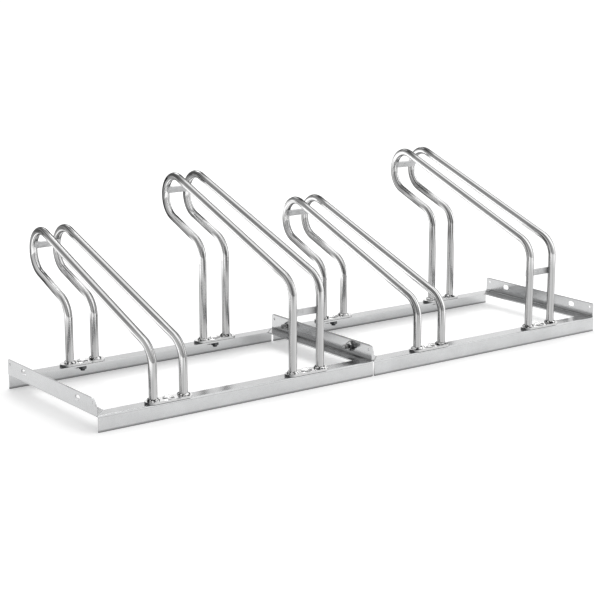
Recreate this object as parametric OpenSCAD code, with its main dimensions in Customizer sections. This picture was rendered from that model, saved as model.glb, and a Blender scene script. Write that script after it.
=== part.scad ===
// One-sided bicycle rack for four wheels, held alternately low and high.
// Two equal modules stand side by side and are bolted together. Each module is a
// frame of steel angle that carries one low and one high hoop, and each hoop is a
// pair of bent tubes that takes a wheel between them.
// X runs along the row, Y from the front to the back, and Z up from the floor.

/* [Module frame] */
// Length that one module adds to the row
module_length = 700; // [560:10:900]
// Depth of the frame, from the front rail's face to the back rail's face
frame_depth = 390; // [340:5:460]
// Thickness of the angle
angle_t = 3; // [2:0.5:4]
// Outer radius of the angle's bend
angle_bend_r = 4.5; // [4.2:0.1:5.5]
// Height of a rail's upright leg
rail_h = 34; // [32:1:45]
// Width of a rail's flat leg
rail_w = 34; // [33:1:45]
// Space between a module's end and the ends of its rails
rail_end_space = 3; // [1:0.5:8]

/* [Cross rails] */
// Height of a cross rail's upright leg
cross_h = 37; // [35:1:48]
// Width of a cross rail's flat leg
cross_w = 34; // [28:1:45]
// Space between the frame's front or back face and the end of a cross rail's upright leg
cross_end_space = 4.5; // [0.5:0.5:8]
// Radius of a cross rail's plain corners
cross_corner_r = 4; // [1:0.5:8]
// Radius of the large round at the front of a left cross rail
cross_round_r = 18; // [9:1:20]
// Length of a joining slot
slot_length = 20; // [14:1:26]
// Width of a joining slot
slot_width = 12; // [10.6:0.2:13]
// Distance from a cross rail's end to the middle of a joining slot
slot_from_end = 73; // [50:1:110]
// Height of the joining slots above a cross rail's underside
slot_height = 23.5; // [22:0.5:25]
// Diameter of the small holes beside the slots
small_hole_d = 6.5; // [4:0.5:7]
// Distance from a cross rail's end to the middle of a small hole
small_hole_from_end = 11; // [10:0.5:20]
// Height of the small holes above a cross rail's underside
small_hole_height = 27; // [17:0.5:28]

/* [Hoops] */
// Distance between the two wheel places of a module
hoop_pitch = 350; // [280:10:400]
// Outer diameter of the tube
tube_d = 18; // [14:0.5:22]
// Wall of the tube
tube_wall = 2; // [1:0.25:3]
// Distance between a hoop's two tubes at their front feet, axis to axis
front_spacing = 72.4; // [62:0.2:84]
// Distance between a hoop's two tubes at their back feet, axis to axis
back_spacing = 62.6; // [56:0.2:84]
// Distance from a rail's face to the axis of the tubes that stand on it
foot_inset = 16; // [15.5:0.1:17.5]
// Height above the floor at which a low hoop's slope would meet its front leg
low_hoop_height = 145.5; // [130:0.5:190]
// Height that a high hoop adds to a low one
high_hoop_rise = 91; // [75:1:130]
// Angle of the slope above the level
slope_angle = 20.3; // [14:0.1:26]
// Angle of the lean behind the back legs, above the level
lean_angle = 21; // [12:0.5:30]
// Distance that the nose reaches behind the back legs, to the tube's axis
nose_reach = 157.8; // [130:0.2:190]
// Length of straight tube in the nose, between its two bends
nose_straight = 5; // [1:0.5:10]
// Radius of the bend at the top of a front leg, at the tube's axis
front_bend_r = 50; // [30:1:60]
// Radius of the nose's upper bend, at the tube's axis
nose_bend_r = 46; // [36:1:50]
// Radius of the nose's lower bend, at the tube's axis
lean_bend_r = 50; // [30:1:60]
// Radius of the bend at the top of a back leg, at the tube's axis
back_bend_r = 50; // [30:1:60]

/* [Cross bars and welds] */
// Height of the flat bars that join a hoop's tubes
bar_h = 15; // [10:0.5:20]
// Thickness of the flat bars
bar_t = 5; // [3:0.5:6]
// Angle round the nose's upper bend at which the nose bar sits
nose_bar_angle = 17; // [12:1:40]
// Height of a leg bar's middle above the frame
leg_bar_height = 132.5; // [100:0.5:140]
// Space left for the weld between a bar and a tube, and in the frame's mitres
weld_gap = 0.2; // [0.1:0.05:0.3]

/* [Feet] */
// Length of a foot plate
foot_length = 110; // [106:1:130]
// Width of a foot plate, whose ends are half circles
foot_width = 30; // [28:0.5:31]
// Thickness of a foot plate
foot_t = 5; // [3:0.5:8]

/* [Foot fasteners] */
// Thread diameter of the bolt that holds a foot plate
foot_bolt_d = 10; // [8:0.5:10]
// Diameter of a foot bolt's low round head
foot_head_d = 24.6; // [20:0.1:26]
// Height of a foot bolt's head
foot_head_h = 5.4; // [4:0.1:6]
// Height of the straight rim at the bottom of that head
foot_head_rim = 1; // [0.5:0.1:2]
// Width across flats of the foot nuts, under the rails' flat legs
foot_hex_w = 17; // [13:0.5:17]
// Height of a foot nut
foot_nut_h = 8; // [6:0.1:9]
// Outer diameter of a foot washer, between rail and nut
foot_washer_d = 20; // [17:0.5:20]
// Thickness of a foot washer
foot_washer_t = 2; // [1:0.1:3]
// Length of thread that stands out past a foot nut
foot_thread_out = 4; // [2:0.5:6]

/* [Joining fasteners] */
// Thread diameter of the bolts that join two modules
joint_bolt_d = 10; // [6:0.5:10]
// Width across flats of the joining bolts and their nuts
joint_hex_w = 17; // [14:0.5:18]
// Height of a joining bolt's head
joint_head_h = 6.4; // [5:0.1:7]
// Height of a joining nut
joint_nut_h = 8; // [6:0.1:10]
// Outer diameter of a joining washer
joint_washer_d = 24; // [21:0.5:26]
// Thickness of a joining washer
joint_washer_t = 2; // [1:0.1:3]
// Length of thread that stands out past a joining nut
joint_thread_out = 12; // [2:0.5:16]

/* [Fits] */
// Clearance of a bolt in its hole, all round
bolt_clearance = 0.5; // [0.3:0.1:0.8]
// Clearance of a nut's bore on its bolt, all round
nut_clearance = 0.1; // [0.05:0.01:0.15]

/* [Hidden] */

$fn = 64;
CUT = 1;
HEX = 6;
HOOPS = 4;
LEFT = -1;
RIGHT = 1;
FRONT = -1;
BACK = 1;

// Share of a bolt head or nut that its turned corners take up
HEX_CHAMFER = 0.15;

// How much thinner straight tube is on each face than bent tube, and how far it laps into it
HAIR = 0.05;
LAP = 0.5;

foot_top = rail_h + foot_t;
front_foot_y = foot_inset;
back_foot_y = frame_depth - foot_inset;
foot_run = back_foot_y - front_foot_y;
toe_angle = atan((front_spacing - back_spacing) / 2 / foot_run);
nose_y = back_foot_y + nose_reach;
overall_depth = nose_y + tube_d / 2;
cross_length = frame_depth - 2 * cross_end_space;
cross_base = rail_h - angle_t;
slot_y = cross_length / 2 - slot_from_end;
small_hole_y = cross_length / 2 - small_hole_from_end;

// The frame's corners are mitred at 45 degrees, so that the flat legs of rails and
// cross rails lie level. The mitre leaves a rail's end inside the bend, clear of its
// upright leg, and meets the module's end at the distance of cross_mitre_y.
rail_mitre_y = (angle_t + angle_bend_r) / 2;
cross_mitre_y = rail_mitre_y - rail_end_space + weld_gap / sin(45);

// Each tube bends in an upright plane of its own, turned by the toe angle.
// Its straight lengths are what the bends leave between its corners.
reach = (foot_run + nose_reach) / cos(toe_angle);
overhang = nose_reach / cos(toe_angle);
front_turn = 90 - slope_angle;
nose_turn = 90 + slope_angle;
lean_turn = 90 - lean_angle;
front_cut = front_bend_r * tan(front_turn / 2);
nose_cut = nose_bend_r * tan(nose_turn / 2);
lean_cut = lean_bend_r * tan(lean_turn / 2);
back_cut = back_bend_r * tan(lean_turn / 2);
nose_drop = nose_cut + nose_straight + lean_cut;
slope_straight = reach / cos(slope_angle) - front_cut - nose_cut;
lean_straight = overhang / cos(lean_angle) - lean_cut - back_cut;
slope_rise = reach * tan(slope_angle);
back_rise = slope_rise - nose_drop - overhang * tan(lean_angle);

function module_x(side) = side * module_length / 2;
function hoop_x(n) = module_x(n <= 2 ? LEFT : RIGHT) + (is_high(n) ? RIGHT : LEFT) * hoop_pitch / 2;
function is_high(n) = n % 2 == 0;
function hoop_height(n) = low_hoop_height + (is_high(n) ? high_hoop_rise : 0);
function half_spacing(y) = front_spacing / 2 - (y - front_foot_y) * tan(toe_angle);
function foot_y(end) = end == FRONT ? front_foot_y : back_foot_y;

module zinc() {
    color([0.80, 0.81, 0.82]) children();
}

module bolt_zinc() {
    color([0.66, 0.67, 0.69]) children();
}

// Puts the middle of the row and of its whole depth at the origin
module in_row() {
    translate([0, -overall_depth / 2, 0]) children();
}

// Section of a bent steel angle, with its outer corner at the origin
module angle_section(flat_w, upright_h) {
    translate([angle_bend_r, 0]) square([flat_w - angle_bend_r, angle_t]);
    translate([0, angle_bend_r]) square([angle_t, upright_h - angle_bend_r]);
    translate([angle_bend_r, angle_bend_r]) intersection() {
        difference() {
            circle(angle_bend_r);
            circle(angle_bend_r - angle_t);
        }
        translate([-angle_bend_r, -angle_bend_r]) square(angle_bend_r);
    }
}

// What a mitre takes off a flat leg: all that lies beyond a line through the origin,
// in the direction given
module mitre_waste(direction, flat_w, upright_h) {
    linear_extrude(2 * (upright_h + CUT), center = true)
        rotate(direction) translate([0, -2 * flat_w]) square([2 * flat_w, 4 * flat_w]);
}

// A rail lies along X, with its upright leg outside and its flat leg on top
module rail(side, end) {
    length = module_length - 2 * rail_end_space;
    zinc() in_row() translate([module_x(side), end == FRONT ? 0 : frame_depth, rail_h])
        rotate(end == FRONT ? 0 : 180) difference() {
            rotate([-90, 0, 90]) linear_extrude(length, center = true)
                angle_section(rail_w, rail_h);
            for (way = [-1, 1]) {
                translate([way * hoop_pitch / 2, foot_inset, -angle_t - CUT])
                    cylinder(h = angle_t + 2 * CUT, d = foot_bolt_d + 2 * bolt_clearance);
                translate([way * length / 2, rail_mitre_y, 0])
                    mitre_waste(90 - way * 45, rail_w, rail_h);
            }
        }
}

// What is cut away from the corner of a plate to leave a round
module corner_waste(r, way) {
    difference() {
        translate([way > 0 ? 0 : -r - CUT, 0]) square(r + CUT);
        circle(r);
    }
}

// Side view of a cross rail, with its two top corners rounded
module cross_outline(front_r, back_r) {
    difference() {
        translate([-cross_length / 2, 0]) square([cross_length, cross_h]);
        translate([-cross_length / 2 + front_r, cross_h - front_r]) corner_waste(front_r, -1);
        translate([cross_length / 2 - back_r, cross_h - back_r]) corner_waste(back_r, 1);
    }
}

module slot_cutter() {
    for (way = [-1, 1])
        translate([0, way * (slot_length - slot_width) / 2, 0]) rotate([0, 90, 0])
            cylinder(h = angle_t + 2 * CUT, d = slot_width, center = true);
    cube([angle_t + 2 * CUT, slot_length - slot_width, slot_width], center = true);
}

// A cross rail lies along Y between the ends of the rails, with its flat leg level
// with theirs and its upright leg standing up at the module's end
module cross_rail(side, end) {
    x = module_x(side) + end * module_length / 2;
    front_r = end == LEFT ? cross_round_r : cross_corner_r;
    zinc() in_row() translate([x, frame_depth / 2, cross_base]) rotate(end == LEFT ? 0 : 180)
        difference() {
            intersection() {
                rotate([90, 0, 0]) linear_extrude(cross_length, center = true)
                    angle_section(cross_w, cross_h);
                rotate([90, 0, 90]) linear_extrude(cross_w) cross_outline(front_r, cross_corner_r);
            }
            for (way = [-1, 1]) {
                translate([0, way * (frame_depth / 2 - cross_mitre_y), 0])
                    mitre_waste(way * 45, cross_w, cross_h);
                translate([angle_t / 2, way * slot_y, slot_height]) slot_cutter();
                translate([angle_t / 2, way * small_hole_y, small_hole_height]) rotate([0, 90, 0])
                    cylinder(h = angle_t + 2 * CUT, d = small_hole_d, center = true);
            }
        }
}

// The wall of the tube, thinner on both sides by a hair where one is given. Its
// circles start at low Y, so that those of neighbouring pieces start side by side.
module tube_section(hair) {
    rotate(-90) difference() {
        circle(d = tube_d - 2 * hair);
        circle(d = tube_d - 2 * tube_wall + 2 * hair);
    }
}

// The next two modules draw a piece of tube that starts at the origin and runs up,
// and set their children on its far end. Straight tube is a hair thinner than bent
// tube and laps a little way into the bends, so that all of a tube is one solid.
module straight_tube(length, lap_below = LAP, lap_above = LAP) {
    translate([0, 0, -lap_below])
        linear_extrude(length + lap_below + lap_above) tube_section(HAIR);
    translate([0, 0, length]) children();
}

// A positive turn bends towards the back, and a negative one towards the front
module bent_tube(r, turn) {
    centre_y = sign(turn) * r;
    rotate(turn > 0 ? 0 : 180) translate([0, r, 0]) rotate([90, 0, -90])
        rotate_extrude(angle = abs(turn)) translate([r, 0]) rotate(90 * sign(turn)) tube_section(0);
    translate([0, centre_y, 0]) rotate([-turn, 0, 0]) translate([0, -centre_y, 0]) children();
}

// One tube of a hoop, from its front foot up the slope, round the nose and down to its back foot
module hoop_tube(n, side) {
    front_straight = hoop_height(n) - front_cut - foot_top;
    back_straight = hoop_height(n) + back_rise - back_cut - foot_top;
    zinc() in_row() translate([hoop_x(n) + side * front_spacing / 2, front_foot_y, foot_top])
        rotate(side * toe_angle)
            straight_tube(front_straight, lap_below = 0) bent_tube(front_bend_r, front_turn)
                straight_tube(slope_straight) bent_tube(nose_bend_r, nose_turn)
                    straight_tube(nose_straight) bent_tube(lean_bend_r, lean_turn)
                        straight_tube(lean_straight) bent_tube(back_bend_r, -lean_turn)
                            straight_tube(back_straight, lap_above = 0);
}

// A nose bar lies against the inside of both tubes, in the nose's upper bend
module nose_bar(n) {
    bend_y = nose_y - nose_bend_r;
    bend_z = hoop_height(n) + slope_rise - nose_cut;
    inside_r = nose_bend_r - tube_d / 2 - weld_gap;
    seat_r = sqrt(pow(inside_r, 2) - pow(bar_h / 2, 2));
    bar_y = bend_y + seat_r * cos(nose_bar_angle);
    zinc() in_row() translate([hoop_x(n), bend_y, bend_z]) rotate([nose_bar_angle, 0, 0])
        translate([0, seat_r - bar_t / 2, 0])
            cube([2 * half_spacing(bar_y), bar_t, bar_h], center = true);
}

// A leg bar lies against the back of both front legs and carries a high wheel
module leg_bar(n) {
    bar_y = front_foot_y + tube_d / 2 + weld_gap + bar_t / 2;
    zinc() in_row() translate([hoop_x(n), bar_y, rail_h + leg_bar_height])
        cube([2 * half_spacing(bar_y), bar_t, bar_h], center = true);
}

module foot_plate(n, end) {
    zinc() in_row() translate([hoop_x(n), foot_y(end), rail_h]) linear_extrude(foot_t)
        difference() {
            union() {
                square([foot_length - foot_width, foot_width], center = true);
                for (way = [-1, 1])
                    translate([way * (foot_length - foot_width) / 2, 0]) circle(d = foot_width);
            }
            circle(d = foot_bolt_d + 2 * bolt_clearance);
        }
}

// Carries its children to the bolt hole of each foot, on the foot plate's top
module at_feet() {
    bolt_zinc() in_row() for (n = [1:HOOPS], end = [FRONT, BACK])
        translate([hoop_x(n), foot_y(end), foot_top]) children();
}

// Carries its children to the joint's two slots, between the back-to-back cross
// rails, with the bolt's axis along Z and its head on the right
module at_joint() {
    bolt_zinc() in_row() for (way = [-1, 1])
        translate([0, frame_depth / 2 + way * slot_y, cross_base + slot_height])
            rotate([0, 90, 0]) children();
}

// A hexagon whose corners are turned off at the top
module hex_block(h, flats_w) {
    corners_w = flats_w / cos(180 / HEX);
    chamfer_h = h * HEX_CHAMFER;
    intersection() {
        cylinder(h = h, d = corners_w, $fn = HEX);
        union() {
            cylinder(h = h - chamfer_h, d = corners_w + CUT);
            translate([0, 0, h - chamfer_h]) cylinder(h = chamfer_h, d1 = corners_w + CUT, d2 = flats_w);
        }
    }
}

// A bolt whose head stands on the XY plane
module hex_bolt(d, length, flats_w, head_h) {
    hex_block(head_h, flats_w);
    translate([0, 0, -length]) cylinder(h = length, d = d);
}

// A bolt with a low round head, which stands on the XY plane
module round_bolt(d, length, head_d, head_h, rim) {
    cap_h = head_h - rim;
    cap_r = (pow(head_d / 2, 2) + pow(cap_h, 2)) / (2 * cap_h);
    intersection() {
        translate([0, 0, head_h - cap_r]) sphere(cap_r);
        cylinder(h = head_h + CUT, d = head_d);
    }
    translate([0, 0, -length]) cylinder(h = length, d = d);
}

module hex_nut(h, flats_w, bolt_d) {
    difference() {
        hex_block(h, flats_w);
        translate([0, 0, -CUT]) cylinder(h = h + 2 * CUT, d = bolt_d + 2 * nut_clearance);
    }
}

module washer(t, outer_d, bolt_d) {
    difference() {
        cylinder(h = t, d = outer_d);
        translate([0, 0, -CUT]) cylinder(h = t + 2 * CUT, d = bolt_d + 2 * bolt_clearance);
    }
}

module foot_bolts() {
    length = foot_t + angle_t + foot_washer_t + foot_nut_h + foot_thread_out;
    at_feet() round_bolt(foot_bolt_d, length, foot_head_d, foot_head_h, foot_head_rim);
}

module foot_washers() {
    at_feet() translate([0, 0, -foot_t - angle_t - foot_washer_t])
        washer(foot_washer_t, foot_washer_d, foot_bolt_d);
}

module foot_nuts() {
    at_feet() translate([0, 0, -foot_t - angle_t - foot_washer_t]) rotate([180, 0, 0])
        hex_nut(foot_nut_h, foot_hex_w, foot_bolt_d);
}

module joint_bolts() {
    length = 2 * joint_washer_t + 2 * angle_t + joint_nut_h + joint_thread_out;
    at_joint() translate([0, 0, angle_t + joint_washer_t])
        hex_bolt(joint_bolt_d, length, joint_hex_w, joint_head_h);
}

module joint_washers() {
    at_joint() for (z = [-angle_t - joint_washer_t, angle_t])
        translate([0, 0, z]) washer(joint_washer_t, joint_washer_d, joint_bolt_d);
}

module joint_nuts() {
    at_joint() translate([0, 0, -angle_t - joint_washer_t]) rotate([180, 0, 0])
        hex_nut(joint_nut_h, joint_hex_w, joint_bolt_d);
}

rail(LEFT, FRONT);  // left_front_rail
rail(LEFT, BACK);  // left_back_rail
rail(RIGHT, FRONT);  // right_front_rail
rail(RIGHT, BACK);  // right_back_rail
cross_rail(LEFT, LEFT);  // left_end_cross_rail
cross_rail(LEFT, RIGHT);  // left_joint_cross_rail
cross_rail(RIGHT, LEFT);  // right_joint_cross_rail
cross_rail(RIGHT, RIGHT);  // right_end_cross_rail
hoop_tube(1, LEFT);  // hoop_1_left_tube
hoop_tube(1, RIGHT);  // hoop_1_right_tube
hoop_tube(2, LEFT);  // hoop_2_left_tube
hoop_tube(2, RIGHT);  // hoop_2_right_tube
hoop_tube(3, LEFT);  // hoop_3_left_tube
hoop_tube(3, RIGHT);  // hoop_3_right_tube
hoop_tube(4, LEFT);  // hoop_4_left_tube
hoop_tube(4, RIGHT);  // hoop_4_right_tube
nose_bar(1);  // hoop_1_nose_bar
nose_bar(2);  // hoop_2_nose_bar
nose_bar(3);  // hoop_3_nose_bar
nose_bar(4);  // hoop_4_nose_bar
leg_bar(2);  // hoop_2_leg_bar
leg_bar(4);  // hoop_4_leg_bar
foot_plate(1, FRONT);  // hoop_1_front_foot
foot_plate(1, BACK);  // hoop_1_back_foot
foot_plate(2, FRONT);  // hoop_2_front_foot
foot_plate(2, BACK);  // hoop_2_back_foot
foot_plate(3, FRONT);  // hoop_3_front_foot
foot_plate(3, BACK);  // hoop_3_back_foot
foot_plate(4, FRONT);  // hoop_4_front_foot
foot_plate(4, BACK);  // hoop_4_back_foot
foot_bolts();
foot_washers();
foot_nuts();
joint_bolts();
joint_washers();
joint_nuts();
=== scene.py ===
# %% [markdown]
# # A zinc-coated rack for four bicycles
# The rack is two welded frames of steel angle, bolted end to end. Bent tubes stand on
# them in pairs, and a wheel rolls in between the two tubes of a pair. The solids come
# from the construction model and stay as they are. Here they get their finish, their
# weld seams and threads, and the light and camera of a product photograph.

# %% Load the frame
import math

import bmesh
import bpy
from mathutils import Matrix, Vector


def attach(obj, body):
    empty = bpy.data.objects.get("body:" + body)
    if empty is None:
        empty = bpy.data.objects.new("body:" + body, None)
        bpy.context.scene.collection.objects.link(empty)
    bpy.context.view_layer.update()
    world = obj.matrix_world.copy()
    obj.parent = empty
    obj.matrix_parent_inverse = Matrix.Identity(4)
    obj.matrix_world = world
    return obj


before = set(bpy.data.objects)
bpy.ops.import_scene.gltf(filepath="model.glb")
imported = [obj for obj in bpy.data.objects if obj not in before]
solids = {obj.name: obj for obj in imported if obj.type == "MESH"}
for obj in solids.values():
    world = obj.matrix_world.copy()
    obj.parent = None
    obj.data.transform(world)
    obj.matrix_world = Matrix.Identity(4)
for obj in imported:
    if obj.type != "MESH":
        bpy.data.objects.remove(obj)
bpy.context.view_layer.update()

# %% [markdown]
# ## Camera
# A long lens from nearly four metres away keeps the four hoops almost the same size.
# A camera could be aimed at a target and nudged until it looks right. This one's place
# and turns were worked out from the corners of the rails in the photograph, so they are
# plain numbers in metres and degrees and need no target.

# %% Place the camera
camera_place = (-2.1761, -2.9368, 0.9647)
turned_down, turned_right = 12.960, 36.487

camera_data = bpy.data.cameras.new("camera")
camera_data.lens = 96.33
camera_data.sensor_width = 36
camera = bpy.data.objects.new("camera", camera_data)
camera.location = camera_place
camera.rotation_euler = (math.radians(90 - turned_down), 0, math.radians(-turned_right))
bpy.context.scene.collection.objects.link(camera)
bpy.context.scene.camera = camera
bpy.context.scene.view_settings.view_transform = "Standard"
print("camera at", camera_place)

# %% [markdown]
# ## Shader maths in plain Python
# A finish is a small graph of nodes. Written out node by node it is hard to read, so a
# `Wire` stands for one output and knows the signs of arithmetic: `1 - mask` adds the
# Math node that it needs.

# %% Wires
class Wire:
    """One output of a node. Sums and products of wires add their Math nodes."""

    def __init__(self, finish, socket):
        self.finish, self.socket = finish, socket

    def maths(self, operation, one, other):
        return self.finish.node("ShaderNodeMath", {"operation": operation}, {0: one, 1: other})

    def __add__(self, other):
        return self.maths("ADD", self, other)

    def __radd__(self, other):
        return self.maths("ADD", other, self)

    def __sub__(self, other):
        return self.maths("SUBTRACT", self, other)

    def __rsub__(self, other):
        return self.maths("SUBTRACT", other, self)

    def __mul__(self, other):
        return self.maths("MULTIPLY", self, other)

    def __rmul__(self, other):
        return self.maths("MULTIPLY", other, self)


operators = [name for name in vars(Wire) if name.endswith(("add__", "sub__", "mul__"))]
print("a wire knows", ", ".join(operators))

# %% [markdown]
# ## A finish in the making
# A `Finish` owns a material, or the world. Its method `node` adds any node from its
# type, its settings and what goes into its sockets. The shorter methods are for the
# nodes that come back most: a ramp of greys, a mix of two colours, vector maths, noise.

# %% Finishes
class Finish:
    """A material, or the world, whose nodes are being laid out."""

    def __init__(self, name, world=None):
        self.owner = world or bpy.data.materials.new(name)
        self.owner.use_nodes = True
        self.tree = self.owner.node_tree
        self.shader = self.tree.nodes.get("Principled BSDF")

    def feed(self, socket, value):
        if isinstance(value, Wire):
            self.tree.links.new(value.socket, socket)
        else:
            socket.default_value = value

    def node(self, kind, settings=None, sockets=None, out=0):
        made = self.tree.nodes.new(kind)
        for name, value in (settings or {}).items():
            if name == "stops":
                ramp = made.color_ramp
                while len(ramp.elements) < len(value):
                    ramp.elements.new(0.5)
                for stop, (place, grey) in zip(ramp.elements, value):
                    stop.position, stop.color = place, (grey, grey, grey, 1)
            else:
                setattr(made, name, value)
        for name, value in (sockets or {}).items():
            self.feed(made.inputs[name], value)
        return Wire(self, made.outputs[out])

    def ramp(self, value, *stops):
        return self.node("ShaderNodeValToRGB", {"stops": stops}, {"Fac": value})

    def colour(self, share, low, high):
        colours = {"Factor": share, 6: (*low, 1), 7: (*high, 1)}
        return self.node("ShaderNodeMix", {"data_type": "RGBA"}, colours, out=2)

    def vector(self, operation, one, other, out="Vector"):
        return self.node("ShaderNodeVectorMath", {"operation": operation}, {0: one, 1: other}, out=out)

    def part(self, vector, axis):
        return self.node("ShaderNodeSeparateXYZ", None, {"Vector": vector}, out=axis)

    def noise(self, where, scale, detail, roughness=0.5):
        settings = {"Vector": where, "Scale": scale, "Detail": detail, "Roughness": roughness}
        return self.node("ShaderNodeTexNoise", None, settings)

    def relief(self, height, strength, distance):
        settings = {"Height": height, "Strength": strength, "Distance": distance}
        return self.node("ShaderNodeBump", None, settings)

    def set(self, **sockets):
        for name, value in sockets.items():
            self.feed(self.shader.inputs[name.replace("_", " ")], value)


print("a finish knows", ", ".join(name for name in vars(Finish) if "__" not in name))

# %% [markdown]
# ## The studio floor
# The photograph has a plain white ground on which the rack throws a faint, soft shadow.
# More light would whiten a floor, but would burn out the zinc too. So the floor is a
# pale matt sheet, and a little emission lifts to white what the lens and the metal see
# of it. The light that falls on the rack is left alone.

# %% Floor
floor_half, floor_drop = 30, 0.0002
floor_glow = 0.32

corner_signs = ((-1, -1), (1, -1), (1, 1), (-1, 1))
floor_corners = [(x * floor_half, y * floor_half, -floor_drop) for x, y in corner_signs]
floor_mesh = bpy.data.meshes.new("floor")
floor_mesh.from_pydata(floor_corners, [], [(0, 1, 2, 3)])
floor = bpy.data.objects.new("floor", floor_mesh)
bpy.context.scene.collection.objects.link(floor)

pale = Finish("pale_floor")
pale.set(Base_Color=(0.86, 0.86, 0.86, 1), Roughness=0.9, Specular_IOR_Level=0.1)
from_lens = pale.node("ShaderNodeLightPath", out="Is Camera Ray")
from_metal = pale.node("ShaderNodeLightPath", out="Is Glossy Ray")
through = pale.node("ShaderNodeLightPath", out="Is Transmission Ray")
strength = (from_lens + from_metal + through) * floor_glow
glow = pale.node("ShaderNodeEmission", None, {"Color": (1, 1, 1, 1), "Strength": strength})
both = pale.node("ShaderNodeAddShader", None, {0: Wire(pale, pale.shader.outputs[0]), 1: glow})
pale.feed(pale.tree.nodes["Material Output"].inputs["Surface"], both)
floor_mesh.materials.append(pale.owner)
print("floor is", floor_half * 2, "m wide")

# %% [markdown]
# ## The surroundings
# Bare metal shows its surroundings more than its own colour, so the surroundings are
# drawn first. They are brightest overhead and on the right, as under a large diffuser,
# and fall off to a quiet grey on the left. A panorama of a studio could stand here, but
# a ramp over one direction does as well, and its few numbers are easy to change.

# %% World
towards_light = (0.75, 0.0, 0.66)
sky_strength, dim_side = 1.22, 0.40

surround = Finish("surround", bpy.data.worlds.new("surround"))
bpy.context.scene.world = surround.owner
way = surround.node("ShaderNodeTexCoord", out="Generated")
lit_side = surround.vector("DOT_PRODUCT", way, towards_light, out="Value")
brightness = surround.ramp(lit_side, (0.0, dim_side), (0.3, 0.52), (0.57, 0.78), (0.80, 1.0))
sky = surround.tree.nodes["Background"]
surround.feed(sky.inputs["Color"], (1, 1, 1, 1))
surround.feed(sky.inputs["Strength"], brightness * sky_strength)
print("the sky falls off to", round(dim_side * sky_strength, 2), "on the left")

# %% [markdown]
# ## The lamp
# One round area lamp stands behind the rack and high up. It puts the bright lines on
# the upper sides of the slopes and throws the shadow towards the viewer. A point lamp
# would throw a hard shadow, so the lamp is a wide disk.

# %% Key light
lamp_place = Vector((0.6, 2.6, 2.6))
lamp_width, lamp_power = 1.6, 26

lamp_data = bpy.data.lights.new("key", "AREA")
lamp_data.shape, lamp_data.size, lamp_data.energy = "DISK", lamp_width, lamp_power
lamp = bpy.data.objects.new("key", lamp_data)
lamp.location = lamp_place
lamp.rotation_euler = lamp_place.to_track_quat("Z", "Y").to_euler()
bpy.context.scene.collection.objects.link(lamp)
print("lamp of", lamp_power, "W at", tuple(round(c, 2) for c in lamp_place))

# %% [markdown]
# ## Galvanised angle
# The frames are made of bright galvanised sheet, smooth enough to mirror what stands on
# it. The zinc has a slow cloudiness and faint crystals. An image of it would have to be
# fitted to each rail, and noise in the rack's own space needs no fitting. Masks on the
# height paint shade into the colour: painted shade on the flat legs with the folds behind
# them, and a painted shadow at the foot of a rail, where it meets the floor. The sheared
# upper edges are duller zinc and get painted shade as well. The outer cross rail on the
# left faces the light floor alone and stays bright: its flat leg gets no painted shade,
# and its edge less.

# %% Finish of the frames
black = (0.0, 0.0, 0.0)
sheet_grey = (0.645, 0.65, 0.655)
crystals_a_metre, clouds_a_metre = 170, 14
left_rail_inside = -0.65


def sheet_finish():
    f = Finish("galvanised_sheet")
    where = f.node("ShaderNodeTexCoord", out="Object")
    height = f.part(where, "Z")
    spread = {"Vector": where, "Scale": crystals_a_metre}
    crystals = f.node("ShaderNodeTexVoronoi", None, spread, out="Color")
    crystal = f.node("ShaderNodeSeparateColor", None, {"Color": crystals})
    cloud = f.noise(where, clouds_a_metre, 5, 0.6)

    inner = f.ramp(f.part(where, "X") - left_rail_inside, (0.0, 0.0), (0.02, 1.0))
    # The sheared upper edges are duller zinc, and away from the left end they also get painted shade.
    sheared = f.ramp(height * 10, (0.668, 0.0), (0.674, 1.0)) * (0.2 + inner * 0.5)
    # Painted shade on the flat legs and in the folds above them, left off the outer cross rail on the left.
    shade = ((0.3403, 0.0), (0.3406, 0.85), (0.352, 0.8), (0.362, 0.4), (0.385, 0.0))
    fold = f.ramp(height * 10, *shade) * inner
    # A painted shadow along the foot of each rail, where it meets the floor.
    painted_floor_shadow = f.ramp(height * 100, (0.0, 0.35), (0.25, 0.5), (0.55, 1.0))

    tone = (cloud * 0.22 + crystal * 0.03 + 0.78) * (1 - sheared) * (1 - fold) * painted_floor_shadow
    f.set(Base_Color=f.colour(tone, black, sheet_grey))
    f.set(Metallic=1.0, Roughness=0.15 + crystal * 0.015 + cloud * 0.08)
    f.set(Normal=f.relief(cloud + crystal * 0.04, 0.15, 0.0004))
    return f.owner


galvanised = sheet_finish()
print("finish", galvanised.name, "has", len(galvanised.node_tree.nodes), "nodes")

# %% [markdown]
# ## Tones around a tube
# A bright tube shows a stripe for each thing around it: the floor, the dim left, the
# sky, the lamp. In the photograph the stripes differ between the upright legs, the
# slope and the leaning part under the nose. A whole studio could be built to make them,
# but it would be guesswork. So the stripes are painted reflections: each of the three
# gets a row of tones in its colour, picked by the surface's direction from the left side
# of the tube to the right. The tones were set by comparing renders with the photograph.

# %% Tones around a tube
leg_tones = (0.30, 0.33, 0.44, 0.50, 0.46, 0.42, 0.42, 0.46, 0.51, 0.54, 0.52)
slope_tones = (1.0, 1.0, 1.0, 0.73, 0.46, 0.38, 0.37, 0.78, 0.75, 0.32, 0.08)
lean_tones = (0.20, 0.14, 0.27, 0.58, 0.98, 1.0, 1.0, 1.0, 0.90, 0.80, 0.62)
across_leg = (0.80, -0.60, 0.0)
across_slope = (0.66, -0.26, 0.71)


def around_tube(f, across, tones):
    """Painted reflection tones at even steps from one side of a tube to the other."""
    normal = f.node("ShaderNodeTexCoord", out="Normal")
    side = f.vector("DOT_PRODUCT", normal, across, out="Value")
    steps = len(tones) - 1
    return f.ramp(side * 0.5 + 0.5, *((step / steps, tone) for step, tone in enumerate(tones)))


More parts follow.
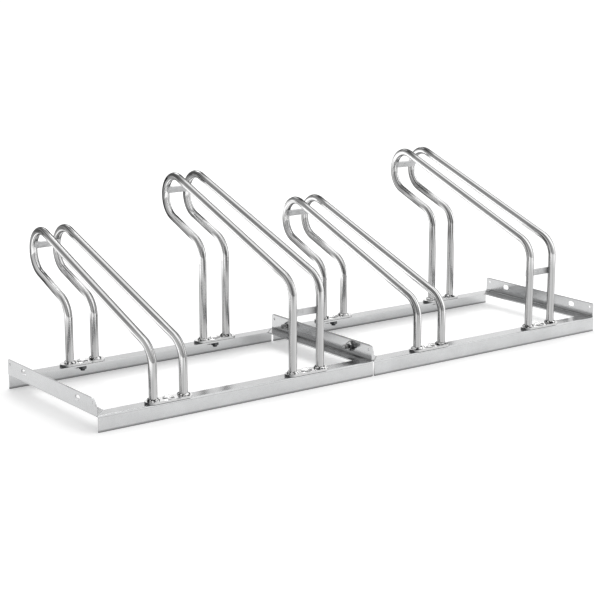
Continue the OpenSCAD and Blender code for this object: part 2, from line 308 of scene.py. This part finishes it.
print("tones for legs, slopes and leans:", len(leg_tones), "steps each")

# %% [markdown]
# ## Zones of a hoop
# A tube is one piece, so its zones are found by place: the legs by their height, the
# lean as what lies below the slope at the back, the nose as the backmost part. The high
# hoops have the low ones' shape on longer legs, and taking the rise off the height lets
# both use the same zones. Separate materials would meet in hard edges, and a mask can
# fade from one zone into the next.

# %% Zones of a hoop
slope_grade, slope_height = 0.37, 0.24


def zones_of_hoop(f, where, rise):
    """Masks of the legs, the lean, the nose and the bends."""
    depth = f.part(where, "Y")
    height = f.part(where, "Z") - rise
    over_slope = height - depth * slope_grade - slope_height
    legs = f.ramp(height, (0.125, 1.0), (0.16, 0.0))
    lean = f.ramp(over_slope + 0.5, (0.43, 1.0), (0.46, 0.0)) * f.ramp(depth, (0.12, 0.0), (0.15, 1.0))
    nose = f.ramp(depth, (0.168, 0.0), (0.195, 1.0))
    bends = nose + f.ramp(height, (0.08, 0.0), (0.115, 1.0), (0.16, 1.0), (0.185, 0.0))
    return legs, lean, nose, bends


print("the slopes climb", slope_grade, "m a metre")

# %% [markdown]
# ## Streaks along a tube
# Drawing a tube leaves streaks along it. In the bends they are made stronger, and a
# coarser set is added, as painted reflections: dark and bright lines. A streak keeps its
# place around the tube through every bend, and so does the sideways part of the
# surface's normal, because all bends lie in upright planes that run from front to back.

# %% Streaks along a tube
stretch, streak_scale = 1.5, 2.4


def streaks(f, where, lines, dark, bright):
    """Noise drawn out along a tube, from -0.5 to 0.5, with a number of lines around it."""
    sideways = f.part(f.node("ShaderNodeTexCoord", out="Normal"), "X")
    around = f.node("ShaderNodeCombineXYZ", None, {"X": sideways * lines})
    along = f.vector("MULTIPLY", where, (stretch, stretch, stretch))
    noise = f.noise(f.vector("ADD", along, around), streak_scale, 5, 0.65)
    return f.ramp(noise, (dark, 0.0), (bright, 1.0)) - 0.5


print("streaks change once in", round(1 / (streak_scale * stretch), 2), "m along a tube")

# %% [markdown]
# ## Bright tube
# Tones, zones and streaks come together in the finish of the tubes. The upper half of
# the nose gets painted shade, and its top most of all, as in the photograph. The zinc
# is smooth enough to mirror, with a faint waviness. The low and the high tubes are
# dressed by one function, because only the height of their zones differs.

# %% Finish of the tubes
white = (1.0, 1.0, 1.0)
fine_lines, coarse_lines = 4.5, 1.4
nose_shade, nose_top_shade = 0.42, 0.6
high_hoop_rise = 0.091


def tube_finish(name, rise):
    f = Finish(name)
    where = f.node("ShaderNodeTexCoord", out="Object")
    legs, lean, nose, bends = zones_of_hoop(f, where, rise)
    upward = f.part(f.node("ShaderNodeTexCoord", out="Normal"), "Z")
    nose_top = nose * f.ramp(upward * 0.5 + 0.5, (0.88, 0.0), (0.95, 1.0))

    # Painted reflections: a row of tones for each zone of the tube.
    on_leg = around_tube(f, across_leg, leg_tones)
    on_slope = around_tube(f, across_slope, slope_tones)
    on_lean = around_tube(f, across_slope, lean_tones)
    shade = on_slope + (on_leg - on_slope) * legs + (on_lean - on_slope) * lean
    # Painted shade on the upper half of the nose, and more on its top.
    shade = shade * (1 - nose * (1 - lean) * nose_shade) * (1 - nose_top * nose_top_shade)

    fine = streaks(f, where, fine_lines, 0.38, 0.62)
    # Coarse lines that show only in the bends, as painted reflections.
    painted_bend_lines = streaks(f, where, coarse_lines, 0.44, 0.56)
    cloud = f.noise(where, 30, 4)
    # Fine streaks are drawing marks; the bends make them stronger, as painted reflection lines.
    tone = shade * (0.95 + fine * (0.35 + bends * 0.6) + painted_bend_lines * bends * 1.4 + cloud * 0.1)
    f.set(Base_Color=f.colour(tone, black, white), Metallic=1.0)
    f.set(Specular_Tint=(0.55, 0.55, 0.55, 1.0), Roughness=0.09 + cloud * 0.06)
    f.set(Normal=f.relief(cloud, 0.08, 0.0003))
    return f.owner


low_tube = tube_finish("bright_low_tube", 0)
high_tube = tube_finish("bright_high_tube", high_hoop_rise)
print("finishes", low_tube.name, high_tube.name, "have", len(low_tube.node_tree.nodes), "nodes each")

# %% [markdown]
# ## Plates, bars and fasteners
# Foot plates and bars are zinc coated like the tubes, but flat, and the bars are duller.
# Each finish has a patchy tone between a dark and a bright colour; on the weld seams the
# patches are painted reflections and glints. Painted light makes upper sides bright, and
# painted shade darkens sides that face the floor or the dim left. What sits under the
# rails' flat legs hardly gets any light, so it gets painted shade. Five finishes could be
# laid out one by one, but they share all their nodes, so one function makes them from
# different numbers.

# %% Finishes of the small pieces
towards_sky = (0.6, 0.1, 0.79)


def small_finish(name, low, high, roughness, scale, patches, side, front=0.6, metallic=1.0):
    f = Finish(name)
    where = f.node("ShaderNodeTexCoord", out="Object")
    normal = f.node("ShaderNodeTexCoord", out="Normal")
    facing = f.vector("DOT_PRODUCT", normal, towards_sky, out="Value")
    # Painted light and shade by the way a side faces: bright towards the sky, dark towards the floor and the
    # dim left.
    lit = f.ramp(facing * 0.5 + 0.5, (0.22, side), (0.45, front), (0.70, 1.0))
    # Painted shade on what sits under the rails' flat legs.
    painted_shade_below_rail = f.ramp(f.part(where, "Z") * 10, (0.28, 0.12), (0.32, 1.0))
    patch = f.noise(where, scale, 5, 0.65)
    tone = f.ramp(patch, (patches[0], 0), (patches[1], 1)) * lit * painted_shade_below_rail
    f.set(Base_Color=f.colour(tone, low, high))
    f.set(Metallic=metallic, Roughness=roughness + patch * 0.12)
    f.set(Normal=f.relief(f.noise(where, scale * 8, 2), 0.2, 0.0003))
    return f.owner


plate_zinc = small_finish("plate_zinc", (0.07, 0.072, 0.075), (0.90, 0.90, 0.90), 0.08, 60,
                          patches=(0.2, 0.4), side=0.1)
bar_zinc = small_finish("bar_zinc", (0.40, 0.405, 0.41), (0.80, 0.805, 0.81), 0.45, 60,
                        patches=(0.2, 0.5), side=0.8, front=0.8, metallic=0.2)
bolt_zinc = small_finish("bolt_zinc", (0.03, 0.032, 0.035), (0.95, 0.95, 0.95), 0.07, 140,
                         patches=(0.25, 0.5), side=0.1)
joint_zinc = small_finish("joint_zinc", (0.02, 0.022, 0.025), (0.60, 0.60, 0.60), 0.10, 140,
                          patches=(0.35, 0.6), side=0.6, front=0.3)
# On the weld seams the dark and bright patches are painted reflections and glints.
weld_zinc = small_finish("weld_zinc", (0.008, 0.009, 0.010), (0.95, 0.95, 0.95), 0.08, 150,
                         patches=(0.46, 0.54), side=0.6, front=0.9)
print("finishes:", plate_zinc.name, bar_zinc.name, bolt_zinc.name, joint_zinc.name, weld_zinc.name)

# %% [markdown]
# ## Dressing the solids
# Every solid is named for what it is, so its finish follows from its name. The low
# hoops are numbers 1 and 3, the high ones 2 and 4. Finishes could also be picked by
# hand, one by one, but the names still work after a change in the construction model.

# %% Put the finishes on the solids
def finish_of(name):
    if "rail" in name:
        return galvanised
    if "tube" in name:
        return high_tube if int(name.split("_")[1]) % 2 == 0 else low_tube
    if name.endswith("_bar"):
        return bar_zinc
    if name.endswith("_foot"):
        return plate_zinc
    return joint_zinc if name.startswith("joint_") else bolt_zinc


for name, solid in solids.items():
    if not solid.material_slots:
        solid.data.materials.append(finish_of(name))
    for slot in solid.material_slots:
        slot.material = finish_of(name)
print("dressed", len(solids), "solids")

# %% [markdown]
# ## How the added pieces are made
# Seams, stripes and threads all have a section that travels along a path. A curve with
# a bevel could carry it, but here each loop of points may have a size of its own, and
# the ends get plain caps. So one function skins a row of loops, and another turns the
# result into a piece that rides with the rack and gets its finish.

# %% Skin loops and place pieces
sharpest_smooth_edge = math.radians(65)


def lay(bm, rows, ring):
    """Skins a row of loops of points, which ends where it began or else gets two caps."""
    loops = [[bm.verts.new(point) for point in row] for row in rows]
    for here, there in zip(loops, loops[1:] + (loops[:1] if ring else [])):
        for i in range(len(here)):
            bm.faces.new((here[i - 1], here[i], there[i], there[i - 1]))
    if not ring:
        bm.faces.new(loops[0])
        bm.faces.new(loops[-1])


def place(name, bm, finish, slot):
    bmesh.ops.recalc_face_normals(bm, faces=bm.faces)
    mesh = bpy.data.meshes.new(name)
    bm.to_mesh(mesh)
    bm.free()
    mesh.shade_smooth()
    mesh.set_sharp_from_angle(angle=sharpest_smooth_edge)
    mesh.materials.append(finish)
    piece = bpy.data.objects.new(name, mesh)
    bpy.context.scene.collection.objects.link(piece)
    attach(piece, "root")


def points_of(solid):
    return [solid.matrix_world @ vertex.co for vertex in solid.data.vertices]


print("a frame rail has", len(points_of(solids["left_front_rail"])), "points")

# %% [markdown]
# ## Where the tubes stand
# The places of the seams could be typed in, but they are read off the solids, so that
# they follow a change there. A tube's feet are the two rings of points at its low end,
# one in front and one behind.

# %% Find the feet of the tubes
def middle_of(group, low):
    xs, ys = [p.x for p in group], [p.y for p in group]
    return Vector(((min(xs) + max(xs)) / 2, (min(ys) + max(ys)) / 2, low))


def feet_of(tube):
    """Middles of the two rings on which a tube stands, the front one first."""
    points = points_of(tube)
    low = min(p.z for p in points)
    ring = [p for p in points if p.z < low + 0.0005]
    between = (min(p.y for p in ring) + max(p.y for p in ring)) / 2
    front = [p for p in ring if p.y < between]
    back = [p for p in ring if p.y > between]
    return [middle_of(front, low), middle_of(back, low)]


first_feet = feet_of(solids["hoop_1_left_tube"])
print("feet of the first tube:", [tuple(round(c, 3) for c in foot) for foot in first_feet])

# %% [markdown]
# ## Weld seams at the feet
# Each tube is welded to its foot plate all round. A plain torus there would look like
# a rubber ring. A bead laid by hand is a row of overlapping scales, so its leg grows
# along each scale and drops back at the next. Its section is a quarter disc in the
# corner, rooted a little inside the tube and plate.

# %% Lay the seams at the feet
tube_radius = 0.009
foot_bead, foot_scales, steps_a_scale = 0.0050, 7, 8
bead_root = (-0.17, -0.2)


def scale_size(step, steps):
    """Size of a bead at one step along it, as a share of its full size."""
    return 0.65 + 0.45 * (step % steps) / steps


def ring_bead(bm, centre, first):
    climbs = [math.radians(-12 + part * 16) for part in range(8)]
    section = [(math.cos(climb), math.sin(climb)) for climb in climbs] + [bead_root]
    steps = foot_scales * steps_a_scale
    rows = []
    for step in range(steps):
        turn = math.tau * step / steps
        outward = Vector((math.cos(turn), math.sin(turn), 0))
        size = foot_bead * scale_size(step + first, steps_a_scale)
        rows.append([centre + outward * (tube_radius + size * out) + Vector((0, 0, size * up))
                     for out, up in section])
    lay(bm, rows, True)


for hoop in range(1, 5):
    bm = bmesh.new()
    for side in ("left", "right"):
        for foot in feet_of(solids[f"hoop_{hoop}_{side}_tube"]):
            ring_bead(bm, foot, first=hoop * 3)
    place(f"hoop_{hoop}_foot_seams", bm, weld_zinc, "plate_steel")
    print("hoop", hoop, "stands on 4 seams")

# %% [markdown]
# ## Weld seams at the bars
# A bar's ends reach the middle of its tubes, so each end is welded along its height,
# in the corner between its end face and the tube. A short straight bead does that. It
# swells from a point and runs out again.

# %% Lay the seams at the bars
bar_bead, bar_scales, bar_steps = 0.0024, 5, 6


def straight_bead(bm, start, end):
    along = (end - start).normalized()
    side = along.orthogonal().normalized()
    up = along.cross(side)
    turns = [math.tau * i / 10 for i in range(10)]
    rows = []
    for step in range(bar_scales * bar_steps + 1):
        share = step / (bar_scales * bar_steps)
        taper = min(1, 8 * share + 0.25, 8 * (1 - share) + 0.25)
        size = bar_bead * scale_size(step, bar_steps) * taper
        rows.append([start.lerp(end, share) + size * (math.cos(a) * side + math.sin(a) * up) for a in turns])
    lay(bm, rows, False)


bars = [name for name in solids if name.endswith("_bar")]
for name in bars:
    points = points_of(solids[name])
    tube_side = max if "nose" in name else min
    bm = bmesh.new()
    for pick in (min, max):
        end_x = pick(p.x for p in points)
        corners = sorted((p for p in points if abs(p.x - end_x) < 1e-5), key=lambda p: p.z)
        halfway = (corners[0].z + corners[-1].z) / 2
        low = tube_side((p for p in corners if p.z < halfway), key=lambda p: p.y)
        high = tube_side((p for p in corners if p.z > halfway), key=lambda p: p.y)
        straight_bead(bm, low, high)
    place(name + "_seams", bm, bar_zinc, "plate_steel")
print("seams on", len(bars), "bars")

# %% [markdown]
# ## Seams at the frames' corners
# The flat legs of rails and cross rails meet in mitres. Each mitre is welded from above
# and ground almost flush, which leaves a flat, uneven stripe across the corner. The
# stripe runs from the bend of the outer corner to the inner one.

# %% Lay the seams at the corners
flat_width, bend_width, weld_gap = 0.034, 0.007, 0.0002
stripe_half, stripe_height, stripe_root = 0.0022, 0.00025, 0.0003
rail_points = points_of(solids["left_front_rail"])
flat_top = max(p.z for p in rail_points)
front_edge = min(p.y for p in rail_points)
back_edge = max(p.y for p in points_of(solids["left_back_rail"]))


def stripe_section(step, middle, across):
    """Seven points around the stripe at one step, five of them on its upper side."""
    half = stripe_half * (0.9 + 0.12 * math.sin(step * 1.9) + 0.08 * math.sin(step * 4.3))
    crown = [(s, stripe_height * (1 - s * s) + 0.00002) for s in (-1, -0.5, 0, 0.5, 1)]
    root = [(1, -stripe_root), (-1, -stripe_root)]
    return [middle + across * half * s + Vector((0, 0, up)) for s, up in crown + root]


for corners_of in ("left_end", "left_joint", "right_joint", "right_end"):
    inward = 1 if corners_of in ("left_end", "right_joint") else -1
    outer_x = (min if inward > 0 else max)(p.x for p in points_of(solids[corners_of + "_cross_rail"]))
    bm = bmesh.new()
    for edge_y, backward in ((front_edge, 1), (back_edge, -1)):
        across = Vector((inward, -backward, 0)).normalized()
        rows = []
        for step in range(25):
            way = bend_width + (flat_width - bend_width) * step / 24
            middle = Vector((outer_x + inward * (way + weld_gap), edge_y + backward * way, flat_top))
            rows.append(stripe_section(step, middle, across))
        lay(bm, rows, False)
    place(corners_of + "_corner_seams", bm, galvanised, "frame_steel")
    print(corners_of, "corners are closed")

# %% [markdown]
# ## Threads
# The solids have plain bolt ends. A rolled thread is a ridge that winds up the bolt. A
# Bump node could draw it, but the bolt's outline would stay smooth. So a ridge with a
# sharp crest is wound round each end that can be seen: the joining bolts past their
# nuts, and the foot bolts below theirs.

# %% Wind the threads
bolt_radius, pitch, crest = 0.005, 0.0015, 0.0005
steps_a_turn = 20


def wind(bm, start, along, length):
    """A ridge with a three-cornered section, wound up a bolt from its end."""
    side = along.orthogonal().normalized()
    up = along.cross(side)
    rows = []
    for step in range(round(length / pitch * steps_a_turn) - steps_a_turn + 1):
        turn = math.tau * step / steps_a_turn
        out = math.cos(turn) * side + math.sin(turn) * up
        here = start + along * (pitch * step / steps_a_turn)
        corners = ((0, bolt_radius - 0.0001), (0.48, bolt_radius + crest), (0.96, bolt_radius - 0.0001))
        rows.append([here + along * pitch * share + out * radius for share, radius in corners])
    lay(bm, rows, False)


def low_ends_of(bolts, axis):
    """Middles of the bolts' plain ends, which lie lowest on an axis."""
    points = points_of(bolts)
    edge = min(p[axis] for p in points)
    ends = []
    for point in [p for p in points if abs(p[axis] - edge) < 1e-5]:
        near = next((group for group in ends if (group[0] - point).length < 0.02), None)
        if near:
            near.append(point)
        else:
            ends.append([point])
    return [sum(group, Vector()) / len(group) for group in ends]


threaded = (("joint_bolts", 0, 0.012, joint_zinc), ("foot_bolts", 2, 0.004, bolt_zinc))
for name, axis, length, finish in threaded:
    bm = bmesh.new()
    along = Vector([1 if i == axis else 0 for i in range(3)])
    ends = low_ends_of(solids[name], axis)
    for end in ends:
        wind(bm, end, along, length)
    place(name + "_threads", bm, finish, "fastener_steel")
    print("threads on", len(ends), name)

# %% [markdown]
